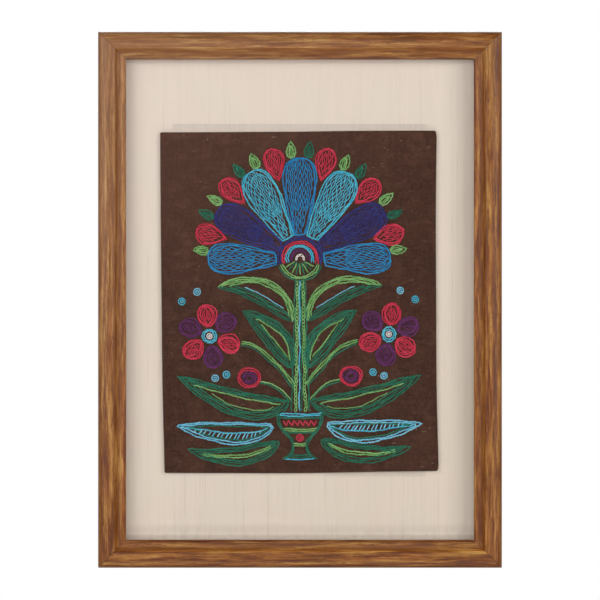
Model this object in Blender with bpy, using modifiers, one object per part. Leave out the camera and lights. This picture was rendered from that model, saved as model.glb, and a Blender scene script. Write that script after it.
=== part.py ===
"""A framed silk embroidery: stitched brown cloth on a cream silk ground, under glass in a mitred wooden frame.

Metres, +Z up. The picture faces -Y and its back is the plane Y = 0. The origin is on that back, half way
along the top rail, where the wall holds the frame.
"""

import math
from collections import namedtuple

import bmesh
import bpy
from mathutils import Vector

# Frame, over its outer edges
FRAME_WIDTH = 0.305
FRAME_HEIGHT = 0.405
RAIL_WIDTH = 0.0211
CLEARANCE = 0.0003  # left between two neighbouring pieces

# Thicknesses, and the air that the stitches need between the brown cloth and the glass
BOARD_THICKNESS = 0.0030
SILK_THICKNESS = 0.0010
CLOTH_THICKNESS = 0.0026
GLASS_THICKNESS = 0.0020
STITCH_ROOM = 0.0017

# Heights above the back plane, from the back to the front
BOARD_BACK = 0.0025
BOARD_FRONT = BOARD_BACK + BOARD_THICKNESS
SILK_BACK = BOARD_FRONT + CLEARANCE
SILK_FRONT = SILK_BACK + SILK_THICKNESS
BOARD_LEDGE = SILK_FRONT + CLEARANCE
CLOTH_BACK = SILK_FRONT + CLEARANCE
CLOTH_FRONT = CLOTH_BACK + CLOTH_THICKNESS
GLASS_BACK = CLOTH_FRONT + STITCH_ROOM
GLASS_FRONT = GLASS_BACK + GLASS_THICKNESS
LIP_BACK = GLASS_FRONT + CLEARANCE

# Distances in from the frame's outer edge to the side walls of the stepped rebate
GLASS_POCKET = 0.0166
BOARD_POCKET = 0.0136

# Front of the moulding. Each band ends at a distance in from the outer edge and a height above the back,
# and its arc rises by bulge over the straight line from the band before
Band = namedtuple("Band", "inward height bulge steps")
OUTER_SIDE_HEIGHT = 0.0160
MOULDING_BANDS = (
    Band(0.0040, 0.0204, 0.0009, 5),  # rounded shoulder
    Band(0.0130, 0.0206, 0.0015, 10),  # crown
    Band(0.0133, 0.0190, 0.0, 1),  # step down
    Band(0.0172, 0.0179, -0.0009, 6),  # hollow
    Band(RAIL_WIDTH, 0.0164, 0.0011, 6),  # bead beside the glass
)
SHARP_ANGLE = math.radians(30)

# Outline of the brown cloth, clockwise: each corner's place from the centre of the frame, the radius of its
# rounding, and how far the side after it bows outwards at one, two and three quarters of its length.
# Both right-hand corners are cut slightly short, so each has two rows.
Corner = namedtuple("Corner", "across up radius bows")
STRAIGHT = (0.0, 0.0, 0.0)
CLOTH_CORNERS = (
    Corner(-0.1059, 0.1267, 0.0008, (-0.0001, -0.0001, 0.0002)),  # top left, then the top
    Corner(0.1027, 0.1280, 0.0006, STRAIGHT),  # top right
    Corner(0.1035, 0.1237, 0.0018, (-0.0010, -0.0011, -0.0011)),  # just below it, then the right side
    Corner(0.1049, -0.1267, 0.0016, STRAIGHT),  # just above the bottom right
    Corner(0.1042, -0.1296, 0.0008, (0.0003, 0.0009, 0.0005)),  # bottom right, then the bottom
    Corner(-0.1025, -0.1311, 0.0014, (0.0007, 0.0006, 0.0004)),  # bottom left, then the left side
)
BOWED_SIDE_STEPS = 12
CORNER_STEPS = 4

CLOTH_ROUNDING = 0.0005  # of the brown cloth's front and back edges
PANE_ROUNDING = 0.0003  # of the edges of the glass, the silk and the board
PANE_ROUNDING_STEPS = 2

CENTRE_UP = BOARD_POCKET / 2 - FRAME_HEIGHT / 2  # from the origin to the centre of the frame

Finish = namedtuple("Finish", "colour roughness transmission")
WOOD = Finish((0.28, 0.13, 0.055), 0.45, 0.0)
BROWN_CLOTH = Finish((0.075, 0.035, 0.024), 0.9, 0.0)
SILK = Finish((0.74, 0.64, 0.54), 0.6, 0.0)
BOARD = Finish((0.36, 0.27, 0.18), 0.85, 0.0)
CLEAR = Finish((0.95, 0.97, 0.96), 0.03, 1.0)


def clear_scene():
    for old in list(bpy.data.objects):
        bpy.data.objects.remove(old, do_unlink=True)


def material(name, finish):
    """A Principled material of one finish; none of these pieces is metal."""
    made = bpy.data.materials.new(name)
    made.use_nodes = True
    shader = made.node_tree.nodes["Principled BSDF"]
    shader.inputs["Base Color"].default_value = (*finish.colour, 1.0)
    shader.inputs["Roughness"].default_value = finish.roughness
    shader.inputs["Metallic"].default_value = 0.0
    shader.inputs["Transmission Weight"].default_value = finish.transmission
    made.diffuse_color = (*finish.colour, 1.0)
    return made


def place(piece, finish, parent, home):
    """Gives a piece its own material and sets it in the frame."""
    home.objects.link(piece)
    piece.parent = parent
    piece.data.materials.append(material(piece.name, finish))


def turned_left(direction):
    """A flat direction turned a quarter turn to the left."""
    return Vector((-direction.y, direction.x))


def arc(start, end, bulge, steps):
    """Points after start up to end, on the circular arc that rises by bulge to the left of the chord."""
    chord = end - start
    side = turned_left(chord.normalized())
    points = []
    for step in range(1, steps + 1):
        along = step / steps
        lift = 0.0
        if bulge:
            radius = (chord.length**2 / 4 + bulge**2) / (2 * abs(bulge))
            from_middle = chord.length * (along - 0.5)
            lift = math.copysign(math.sqrt(radius**2 - from_middle**2) - radius + abs(bulge), bulge)
        points.append(start + chord * along + side * lift)
    return points


def moulding_section():
    """The moulding's cross-section: x is the distance in from the outer edge, y the height above the back."""
    section = [Vector((0.0, 0.0)), Vector((0.0, OUTER_SIDE_HEIGHT))]
    for band in MOULDING_BANDS:
        section += arc(section[-1], Vector((band.inward, band.height)), band.bulge, band.steps)
    rebate = (
        (RAIL_WIDTH, LIP_BACK),
        (GLASS_POCKET, LIP_BACK),
        (GLASS_POCKET, BOARD_LEDGE),
        (BOARD_POCKET, BOARD_LEDGE),
        (BOARD_POCKET, 0.0),
    )
    return section + [Vector(point) for point in rebate]


def rail(name, length, half_span, turn):
    """One mitred length of the moulding.

    The section is a face whose points lie in the left mitre, extruded to its mirror image, the right mitre.
    It is made as the top rail, with its outer edge at Z = 0, then turned about Y and set half_span out.
    """
    left_end = CLEARANCE / math.sqrt(2) - length / 2
    shape = bmesh.new()
    corners = [shape.verts.new((left_end + point.x, -point.y, -point.x)) for point in moulding_section()]
    end = shape.faces.new(corners)
    extruded = bmesh.ops.extrude_face_region(shape, geom=[end])["geom"]
    for item in extruded:
        if isinstance(item, bmesh.types.BMVert):
            item.co.x = -item.co.x
    bmesh.ops.recalc_face_normals(shape, faces=shape.faces)
    mesh = bpy.data.meshes.new(name)
    shape.to_mesh(mesh)
    shape.free()
    mesh.shade_smooth()
    mesh.set_sharp_from_angle(angle=SHARP_ANGLE)
    piece = bpy.data.objects.new(name, mesh)
    piece.rotation_euler = (0.0, turn, 0.0)
    piece.location = (half_span * math.sin(turn), 0.0, half_span * math.cos(turn))
    return piece


def pane(name, pocket, back, front):
    """A flat sheet that fills the rebate out to the pocket wall, between two heights above the back."""
    shape = bmesh.new()
    bmesh.ops.create_cube(shape, size=1.0)
    reach = 2 * (pocket + CLEARANCE)
    bmesh.ops.scale(shape, vec=(FRAME_WIDTH - reach, front - back, FRAME_HEIGHT - reach), verts=shape.verts)
    mesh = bpy.data.meshes.new(name)
    shape.to_mesh(mesh)
    shape.free()
    piece = bpy.data.objects.new(name, mesh)
    piece.location = (0.0, -(front + back) / 2, 0.0)
    bevel = piece.modifiers.new("eased_edges", "BEVEL")
    bevel.width = PANE_ROUNDING
    bevel.segments = PANE_ROUNDING_STEPS
    return piece


def bow_at(bows, along):
    """The outward bow at a fraction of a side: a Catmull-Rom curve through 0, the three bows and 0."""
    knots = (-bows[0], 0.0, *bows, 0.0, -bows[-1])
    index = min(int(along * 4), 3)
    part = along * 4 - index
    before, start, end, after = knots[index : index + 4]
    return 0.5 * (
        2 * start
        + (end - before) * part
        + (2 * before - 5 * start + 4 * end - after) * part**2
        + (3 * start - before - 3 * end + after) * part**3
    )


def cloth_outline():
    """The brown cloth's outline, clockwise from the top left: bowed sides between rounded corners."""
    outline = []
    for index, corner in enumerate(CLOTH_CORNERS):
        behind = CLOTH_CORNERS[index - 1]
        ahead = CLOTH_CORNERS[(index + 1) % len(CLOTH_CORNERS)]
        point = Vector((corner.across, corner.up))
        back = (Vector((behind.across, behind.up)) - point).normalized()
        side = Vector((ahead.across, ahead.up)) - point
        forward = side.normalized()
        entry = point + back * corner.radius
        leave = point + forward * corner.radius
        for step in range(CORNER_STEPS + 1):
            part = step / CORNER_STEPS
            outline.append((1 - part) ** 2 * entry + 2 * part * (1 - part) * point + part**2 * leave)
        straight = side.length - corner.radius - ahead.radius
        steps = 1 if corner.bows == STRAIGHT else BOWED_SIDE_STEPS
        for step in range(1, steps):
            along = step / steps
            bow = bow_at(corner.bows, along)
            outline.append(leave + forward * straight * along + turned_left(forward) * bow)
    return outline


def embroidery_cloth():
    """The brown cloth: its outline as a filled 2D curve, extruded to its thickness, with rounded edges."""
    curve = bpy.data.curves.new("embroidery_cloth", "CURVE")
    curve.dimensions = "2D"
    curve.fill_mode = "BOTH"
    curve.extrude = CLOTH_THICKNESS / 2 - CLOTH_ROUNDING
    curve.bevel_depth = CLOTH_ROUNDING
    curve.bevel_resolution = 1
    curve.offset = -CLOTH_ROUNDING
    outline = cloth_outline()
    spline = curve.splines.new("POLY")
    spline.points.add(len(outline) - 1)
    for point, corner in zip(spline.points, outline):
        point.co = (corner.x, corner.y, 0.0, 1.0)
    spline.use_cyclic_u = True
    piece = bpy.data.objects.new("embroidery_cloth", curve)
    piece.rotation_euler = (math.radians(90), 0.0, 0.0)
    piece.location = (0.0, -(CLOTH_BACK + CLOTH_FRONT) / 2, 0.0)
    return piece


def main():
    clear_scene()
    home = bpy.data.collections.new("framed_silk_embroidery")
    bpy.context.scene.collection.children.link(home)
    centre = bpy.data.objects.new("frame_centre", None)
    centre.location = (0.0, 0.0, CENTRE_UP)
    home.objects.link(centre)

    rails = (
        ("rail_top", FRAME_WIDTH, FRAME_HEIGHT / 2),
        ("rail_right", FRAME_HEIGHT, FRAME_WIDTH / 2),
        ("rail_bottom", FRAME_WIDTH, FRAME_HEIGHT / 2),
        ("rail_left", FRAME_HEIGHT, FRAME_WIDTH / 2),
    )
    for quarter, (name, length, half_span) in enumerate(rails):
        place(rail(name, length, half_span, quarter * math.radians(90)), WOOD, centre, home)
    place(pane("glass", GLASS_POCKET, GLASS_BACK, GLASS_FRONT), CLEAR, centre, home)
    place(pane("silk_ground", BOARD_POCKET, SILK_BACK, SILK_FRONT), SILK, centre, home)
    place(pane("mount_board", BOARD_POCKET, BOARD_BACK, BOARD_FRONT), BOARD, centre, home)
    place(embroidery_cloth(), BROWN_CLOTH, centre, home)


main()
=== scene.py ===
"""Looks, stage and camera for a framed silk embroidery.

A brown cloth worked in coloured threads, on a cream silk ground under glass, in a mitred wooden moulding.

Metres, +Z up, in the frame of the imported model. The picture faces -Y, its back is Y = 0, and the origin is on
the back of the top rail at mid width. Shapes are worked out as whole numpy arrays.
"""

import math

import bmesh
import bpy
import numpy as np
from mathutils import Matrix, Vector


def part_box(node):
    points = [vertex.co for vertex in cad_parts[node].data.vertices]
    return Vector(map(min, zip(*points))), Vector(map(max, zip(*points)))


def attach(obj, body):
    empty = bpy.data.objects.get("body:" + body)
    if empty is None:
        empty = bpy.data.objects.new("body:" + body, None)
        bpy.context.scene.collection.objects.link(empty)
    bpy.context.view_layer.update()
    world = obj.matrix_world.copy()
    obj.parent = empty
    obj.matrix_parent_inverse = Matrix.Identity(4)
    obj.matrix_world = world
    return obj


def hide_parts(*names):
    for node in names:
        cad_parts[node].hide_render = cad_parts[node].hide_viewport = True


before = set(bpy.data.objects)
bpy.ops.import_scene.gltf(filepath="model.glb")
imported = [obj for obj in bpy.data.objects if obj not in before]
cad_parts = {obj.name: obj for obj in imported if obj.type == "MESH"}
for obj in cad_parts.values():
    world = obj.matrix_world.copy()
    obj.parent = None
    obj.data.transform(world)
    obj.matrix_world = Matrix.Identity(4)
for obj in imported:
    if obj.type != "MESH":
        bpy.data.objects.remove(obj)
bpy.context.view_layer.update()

# Sizes of the object, in metres

FRAME_WIDTH, FRAME_HEIGHT = 0.305, 0.405
BOARD_POCKET = 0.0136  # from the frame's outer edge in to the wall of the board's rebate
GLASS_POCKET = 0.0166
RAIL_WIDTH = 0.0211
CENTRE_UP = BOARD_POCKET / 2 - FRAME_HEIGHT / 2  # height of the picture's centre
MITRE_GAP = 0.00015  # that each rail stays back from its mitre line

# Heights above the back plane
OUTER_SIDE_HEIGHT = 0.0160
LIP_BACK = 0.0137
BOARD_LEDGE = 0.0071
CLOTH_BACK, CLOTH_FRONT = 0.0071, 0.0097
SILK_BACK, SILK_FRONT = 0.0058, 0.0068

MM = 0.001
rng = np.random.default_rng(1871)


# Meshes from arrays


def new_object(name, data):
    """An object of the scene with the given data."""
    made = bpy.data.objects.new(name, data)
    bpy.context.scene.collection.objects.link(made)
    return made


def piece_from(name, points, faces, attributes=None, sharp=None):
    """A mesh object from arrays of points and quads, smooth but for edges sharper than sharp."""
    points = np.asarray(points, np.float32).reshape(-1, 3)
    faces = np.asarray(faces, np.int32).reshape(-1, 4)
    mesh = bpy.data.meshes.new(name)
    mesh.vertices.add(len(points))
    mesh.vertices.foreach_set("co", points.ravel())
    mesh.loops.add(faces.size)
    mesh.loops.foreach_set("vertex_index", faces.ravel())
    mesh.polygons.add(len(faces))
    mesh.polygons.foreach_set("loop_start", np.arange(0, faces.size, 4, dtype=np.int32))
    mesh.update(calc_edges=True)
    mesh.shade_smooth()
    if sharp is not None:
        mesh.set_sharp_from_angle(angle=sharp)
    for label, values in (attributes or {}).items():
        layer = mesh.attributes.new(label, "FLOAT_VECTOR", "POINT")
        layer.data.foreach_set("vector", np.asarray(values, np.float32).ravel())
    mesh.validate()
    made = new_object(name, mesh)
    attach(made, "root")
    return made


def grid_faces(rows, columns, wrap_rows=False, wrap_columns=False):
    """Quads between neighbouring points of a rows x columns grid, which may close on itself either way."""
    row = np.arange(rows if wrap_rows else rows - 1)[:, None]
    column = np.arange(columns if wrap_columns else columns - 1)[None, :]
    below, beside = (row + 1) % rows, (column + 1) % columns
    here, under = row * columns, below * columns
    corners = (here + column, here + beside, under + beside, under + column)
    return np.stack([np.broadcast_to(c, (row.size, column.size)) for c in corners], -1).reshape(-1, 4)


def run_along(points):
    """The distance travelled at each point of a polyline."""
    return np.concatenate([[0], np.cumsum(np.hypot(*np.diff(points, axis=0).T))])


def at_distances(marks, travelled, points):
    """Places on a polyline at given distances along it."""
    return np.stack([np.interp(marks, travelled, points[:, i]) for i in (0, 1)], -1)


def rim_of(rows, columns):
    """Indices of a grid's boundary points, once round."""
    grid = np.arange(rows * columns).reshape(rows, columns)
    return np.concatenate([grid[0, :-1], grid[:-1, -1], grid[-1, :0:-1], grid[:0:-1, 0]])


def sheet_solid(across, up, front_depth, back_depth):
    """Points and quads of a closed sheet: a front grid, a back grid like it and a strip round the rim."""
    rows, columns = across.shape
    count = rows * columns
    faces = grid_faces(rows, columns)
    rim = rim_of(rows, columns)
    ahead = np.roll(rim, -1)
    edge = np.stack([rim, ahead, ahead + count, rim + count], -1)
    layers = [np.stack([across, -depth, up], -1).reshape(-1, 3) for depth in (front_depth, back_depth)]
    return np.concatenate(layers), np.concatenate([faces[:, ::-1], faces + count, edge])


def smooth_waves(across, up, reach, amount, count, seed):
    """A gentle uneven height: a sum of cosine waves of random direction, of wavelengths round reach."""
    draw = np.random.default_rng(seed)
    turn = draw.uniform(0, math.tau, (2, count))
    wavelength = reach * draw.uniform(0.6, 1.7, count)
    phase = (across[..., None] * np.cos(turn[0]) + up[..., None] * np.sin(turn[0])) / wavelength
    return amount * np.cos(math.tau * phase + turn[1]).sum(-1) / math.sqrt(count)


# Node materials


def put(tree, kind, inputs=None, **settings):
    """Places one node. Settings go on the node; inputs go on its sockets, as a link or as a value."""
    node = tree.nodes.new(kind)
    for key, value in settings.items():
        setattr(node, key, value)
    for key, value in (inputs or {}).items():
        if isinstance(value, bpy.types.NodeSocket):
            tree.links.new(value, node.inputs[key])
        else:
            node.inputs[key].default_value = value
    return node


def sums(tree, operation, *values, clamp=False):
    """One Math node on values or sockets."""
    inputs = dict(enumerate(values))
    return put(tree, "ShaderNodeMath", inputs, operation=operation, use_clamp=clamp).outputs[0]


def times(tree, first, *others):
    """The product of values or sockets."""
    for other in others:
        first = sums(tree, "MULTIPLY", first, other)
    return first


def added(tree, value, share, rest):
    """A share of a value, added to the rest."""
    return sums(tree, "MULTIPLY_ADD", value, share, rest)


def vectors(tree, operation, first, second):
    """One Vector Math node on two vectors."""
    return put(tree, "ShaderNodeVectorMath", {0: first, 1: second}, operation=operation).outputs[0]


def parts_of(tree, place):
    """The X, Y and Z of a vector."""
    return put(tree, "ShaderNodeSeparateXYZ", {0: place}).outputs


def spread(tree, value, low, high, to_low=0.0, to_high=1.0, smooth=True):
    """A value mapped from low..high to another range, with its ends held."""
    return put(
        tree,
        "ShaderNodeMapRange",
        {"Value": value, "From Min": low, "From Max": high, "To Min": to_low, "To Max": to_high},
        interpolation_type="SMOOTHSTEP" if smooth else "LINEAR",
    ).outputs["Result"]


def band(tree, value, rise, fall, low=0.0, high=1.0):
    """A mask that goes from low to high over the range rise, then down to nothing over the range fall."""
    return times(tree, spread(tree, value, *rise, low, high), spread(tree, value, *fall, 1.0, 0.0))


def stretched(tree, place, scale, turn=0.0):
    """A place scaled by its own amount along each axis, after a turn about Y."""
    inputs = {"Vector": place, "Scale": scale, "Rotation": (0.0, turn, 0.0)}
    return put(tree, "ShaderNodeMapping", inputs).outputs["Vector"]


def noise(tree, place, scale, detail=2.0, roughness=0.5, distortion=0.0, turn=0.0):
    """Noise at a place scaled by one number, or stretched by its own amount along each axis."""
    if isinstance(scale, tuple):
        place, scale = stretched(tree, place, scale, turn), 1.0
    return put(
        tree,
        "ShaderNodeTexNoise",
        {"Vector": place, "Scale": scale, "Detail": detail, "Roughness": roughness, "Distortion": distortion},
    ).outputs["Fac"]


def blend(tree, factor, low, high, kind="MIX"):
    """Two colours mixed by a mask."""
    node = put(tree, "ShaderNodeMix", data_type="RGBA", blend_type=kind)
    for index, value in ((0, factor), (6, low), (7, high)):
        if isinstance(value, bpy.types.NodeSocket):
            tree.links.new(value, node.inputs[index])
        else:
            node.inputs[index].default_value = value
    return node.outputs[2]


def tinted(tree, colour, tint):
    """A colour multiplied by another."""
    return blend(tree, 1.0, colour, tint, "MULTIPLY")


def ramp(tree, factor, *stops):
    """A colour ramp through (position, colour) stops."""
    node = put(tree, "ShaderNodeValToRGB", {"Fac": factor})
    elements = node.color_ramp.elements
    while len(elements) < len(stops):
        elements.new(0.5)
    for element, (position, colour) in zip(elements, stops):
        element.position = position
        element.color = colour
    return node.outputs["Color"]


WHITE, BLACK = (1.0, 1.0, 1.0, 1.0), (0.0, 0.0, 0.0, 1.0)


def dye(red, green, blue):
    """A linear colour from 0-255 screen values."""
    levels = np.array([red, green, blue]) / 255
    linear = np.where(levels <= 0.04045, levels / 12.92, ((levels + 0.055) / 1.055) ** 2.4)
    return (*linear.tolist(), 1.0)


def finish(name, **values):
    """A new material, its node tree and its Principled shader, with constants on the shader's own sockets."""
    made = bpy.data.materials.new(name)
    made.use_nodes = True
    tree = made.node_tree
    shader = tree.nodes["Principled BSDF"]
    for key, value in values.items():
        shader.inputs[key.replace("_", " ")].default_value = value
    return made, tree, shader


def drive(tree, shader, colour, roughness, height, relief, strength):
    """Links a colour, a roughness and a bump of a height, in metres, to a shader."""
    bump = put(tree, "ShaderNodeBump", {"Height": height, "Distance": relief, "Strength": strength})
    normal = bump.outputs["Normal"]
    for label, value in (("Base Color", colour), ("Roughness", roughness), ("Normal", normal)):
        tree.links.new(value, shader.inputs[label])


def show_both(tree, factor, first, second):
    """Sends a mix of two shaders to the material's output."""
    both = put(tree, "ShaderNodeMixShader", {0: factor, 1: first.outputs[0], 2: second.outputs[0]})
    tree.links.new(both.outputs[0], tree.nodes["Material Output"].inputs["Surface"])


def node_group(name, inputs, outputs):
    """An empty shader node group with named sockets, its inlet and its outlet."""
    group = bpy.data.node_groups.new(name, "ShaderNodeTree")
    for label, kind in inputs:
        group.interface.new_socket(label, in_out="INPUT", socket_type=kind)
    for label, kind in outputs:
        group.interface.new_socket(label, in_out="OUTPUT", socket_type=kind)
    return group, group.nodes.new("NodeGroupInput"), group.nodes.new("NodeGroupOutput")


def plain_weave_group():
    """Plain weave over X and Z: warp and weft are rounded ridges that pass over and under by turns.

    Height is |sin| across a thread times (1 + sin) / 2 along it, whose sign swaps from thread to thread.
    Thread is a tone that changes from one thread to the next, and Gap marks the holes between threads.
    """
    group, inlet, outlet = node_group(
        "plain weave",
        [("Place", "NodeSocketVector"), ("Pitch", "NodeSocketFloat"), ("Wander", "NodeSocketFloat")],
        [("Height", "NodeSocketFloat"), ("Gap", "NodeSocketFloat"), ("Thread", "NodeSocketFloat")],
    )
    place, pitch, wander = (inlet.outputs[i] for i in range(3))
    drift = put(group, "ShaderNodeTexNoise", {"Vector": place, "Scale": 180.0, "Detail": 2.0})
    shift = vectors(group, "SUBTRACT", drift.outputs["Color"], (0.5, 0.5, 0.5))
    shift = put(group, "ShaderNodeVectorMath", {0: shift, "Scale": wander}, operation="SCALE").outputs[0]
    parts = parts_of(group, vectors(group, "ADD", place, shift))
    ridges, cells, turns = [], [], []
    for axis in ("X", "Z"):
        threads = sums(group, "DIVIDE", parts[axis], pitch)
        turns.append(times(group, threads, math.pi))
        ridges.append(sums(group, "ABSOLUTE", sums(group, "SINE", turns[-1])))
        cells.append(sums(group, "FLOOR", threads))
    # the warp runs along Z: it is on top where the sine along Z, swapped on odd threads, is positive
    highs = []
    for ridge, cell, turn, over in zip(ridges, cells, turns[::-1], (0.5, -0.5)):
        swap = added(group, cell, math.pi, turn)
        highs.append(times(group, ridge, added(group, sums(group, "SINE", swap), over, 0.5)))
    height = sums(group, "MAXIMUM", highs[0], highs[1])
    gap = sums(group, "SUBTRACT", 1.0, sums(group, "MAXIMUM", ridges[0], ridges[1]), clamp=True)
    tones = []
    for cell, salt in ((cells[0], 3.7), (cells[1], 11.3)):
        where = put(group, "ShaderNodeCombineXYZ", {0: cell, 1: salt})
        tones.append(put(group, "ShaderNodeTexWhiteNoise", {0: where.outputs[0]}).outputs["Value"])
    tone = times(group, sums(group, "ADD", tones[0], tones[1]), 0.5)
    for label, value in (("Height", height), ("Gap", gap), ("Thread", tone)):
        group.links.new(value, outlet.inputs[label])
    return group


def lint_group():
    """Specks of dust and lint: rare round dots and short fibres, from the centres of Voronoi cells."""
    group, inlet, outlet = node_group(
        "dust and lint",
        [("Place", "NodeSocketVector"), ("Amount", "NodeSocketFloat")],
        [("Specks", "NodeSocketFloat"), ("Fibres", "NodeSocketFloat")],
    )
    place, amount = inlet.outputs[0], inlet.outputs[1]
    masks = []
    for scale, reach, turn in (((520.0, 520.0, 430.0), 0.12, 0.4), ((130.0, 130.0, 620.0), 0.13, 0.9)):
        where = stretched(group, place, scale, turn)
        cells = put(group, "ShaderNodeTexVoronoi", {"Vector": where, "Scale": 1.0})
        rare = put(group, "ShaderNodeSeparateColor", {0: cells.outputs["Color"]}).outputs[0]
        some = sums(group, "LESS_THAN", rare, amount)
        dot = spread(group, cells.outputs["Distance"], reach, reach * 2.2, 1.0, 0.0)
        masks.append(times(group, some, dot))
    for label, value in (("Specks", masks[0]), ("Fibres", masks[1])):
        group.links.new(value, outlet.inputs[label])
    return group


PLAIN_WEAVE = plain_weave_group()
LINT = lint_group()


def use(tree, group, **inputs):
    """Places a node group in a material with its own values."""
    return put(tree, "ShaderNodeGroup", inputs, node_tree=group).outputs


def object_place(tree):
    """The place of a point in its object."""
    return put(tree, "ShaderNodeTexCoord").outputs["Object"]


def own_place(tree, attribute):
    """A point's value of an attribute of its mesh."""
    return put(tree, "ShaderNodeAttribute", attribute_name=attribute).outputs["Vector"]


# The wooden moulding

RAIL_STEPS = 60  # grid lines along each rail
RAIL_SHARP = math.radians(32)
GRAIN_STARTS = {"rail_top": 0.0, "rail_right": 1.7, "rail_bottom": 3.1, "rail_left": 5.3}
CROWN_END, STEP_END, HOLLOW_END = 0.0127, 0.0139, 0.0174
MOULDING_BANDS = (  # how far in, how high, how much the arc bulges, and its number of steps
    (0.0041, 0.0209, 0.0011, 12),  # rounded shoulder
    (CROWN_END, 0.0211, 0.0009, 18),
    (STEP_END, 0.0193, -0.0001, 4),  # step down
    (HOLLOW_END, 0.0181, -0.0006, 10),
    (RAIL_WIDTH, 0.0164, 0.0011, 12),  # bead beside the glass
)


def arc(start, end, bulge, steps):
    """Points after start up to end: the chord, plus a circular arc's height over it, on its left."""
    start, end = np.array(start), np.array(end)
    along = np.arange(1, steps + 1)[:, None] / steps
    chord = end - start
    length = np.hypot(*chord)
    lift = 0.0
    if bulge:
        radius = (length**2 / 4 + bulge**2) / (2 * abs(bulge))
        sagitta = np.sqrt(radius**2 - (length * (along - 0.5)) ** 2) - radius + abs(bulge)
        lift = np.sign(bulge) * sagitta
    return start + chord * along + np.array([-chord[1], chord[0]]) / length * lift


def eased(points, radius, steps=3):
    """A closed outline with each corner replaced by a quadratic curve that starts and ends radius from it."""
    before, after = np.roll(points, 1, 0) - points, np.roll(points, -1, 0) - points
    before_length, after_length = np.hypot(*before.T), np.hypot(*after.T)
    reach = np.minimum(radius, 0.4 * np.minimum(before_length, after_length))[:, None]
    first = points + before / before_length[:, None] * reach
    last = points + after / after_length[:, None] * reach
    part = np.linspace(0, 1, steps)[None, :, None]
    middle = 2 * part * (1 - part) * points[:, None]
    return ((1 - part) ** 2 * first[:, None] + middle + part**2 * last[:, None]).reshape(-1, 2)


def moulding_section():
    """The moulding's section, eased at its corners: x is how far in from the outer edge, y the height."""
    front = [np.array([[0.0, 0.0], [0.0, OUTER_SIDE_HEIGHT * 0.5], [0.0, OUTER_SIDE_HEIGHT]])]
    for inward, height, bulge, steps in MOULDING_BANDS:
        front.append(arc(front[-1][-1], (inward, height), bulge, steps))
    rebate = [
        (RAIL_WIDTH, LIP_BACK),
        (GLASS_POCKET, LIP_BACK),
        (GLASS_POCKET, BOARD_LEDGE),
        (BOARD_POCKET, BOARD_LEDGE),
        (BOARD_POCKET, 0.0),
        (BOARD_POCKET * 0.5, 0.0),
    ]
    return eased(np.concatenate(front + [np.array(rebate)]), 0.0003)


def rail(name, length, turn, half_span):
    """One length of the moulding: its section carried along a straight path, cut at 45 degrees at both ends.

    A section point that lies q in from the outer edge runs from q - length/2 to length/2 - q.
    """
    section = moulding_section()
    inward, height = section[:, 0], section[:, 1]
    reach = length / 2 - inward - MITRE_GAP
    along = np.linspace(-1, 1, RAIL_STEPS)[:, None] * reach[None, :]
    girth = run_along(section)
    depth, high, girth = (np.broadcast_to(v, along.shape) for v in (inward, height, girth))
    points = np.stack([along, -high, -depth], -1).reshape(-1, 3)
    grain = np.stack([along + GRAIN_STARTS[name], girth, depth], -1).reshape(-1, 3)
    count = len(section)
    faces = grid_faces(RAIL_STEPS, count, wrap_columns=True)
    sides = piece_from(name, turned(points, turn, half_span), faces, {"grain": grain}, RAIL_SHARP)
    close_ends(sides.data, RAIL_STEPS, count)
    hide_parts(name)
    return sides


def turned(points, turn, half_span):
    """Points of the top rail turned about Y and set half_span out from the picture's centre."""
    cosine, sine = math.cos(turn), math.sin(turn)
    x, y, z = points.T
    z = z + half_span
    return np.stack([x * cosine + z * sine, y, z * cosine - x * sine + CENTRE_UP], -1)


def close_ends(mesh, rows, count):
    """Adds the two mitred end faces to a rail's tube, then makes every face point outwards."""
    shape = bmesh.new()
    shape.from_mesh(mesh)
    shape.verts.ensure_lookup_table()
    for first in (0, (rows - 1) * count):
        shape.faces.new([shape.verts[first + i] for i in range(count)])
    ends = [face for face in shape.faces if len(face.verts) > 4]
    bmesh.ops.triangulate(shape, faces=ends)
    bmesh.ops.recalc_face_normals(shape, faces=shape.faces)
    shape.to_mesh(mesh)
    shape.free()
    mesh.set_sharp_from_angle(angle=RAIL_SHARP)


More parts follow.
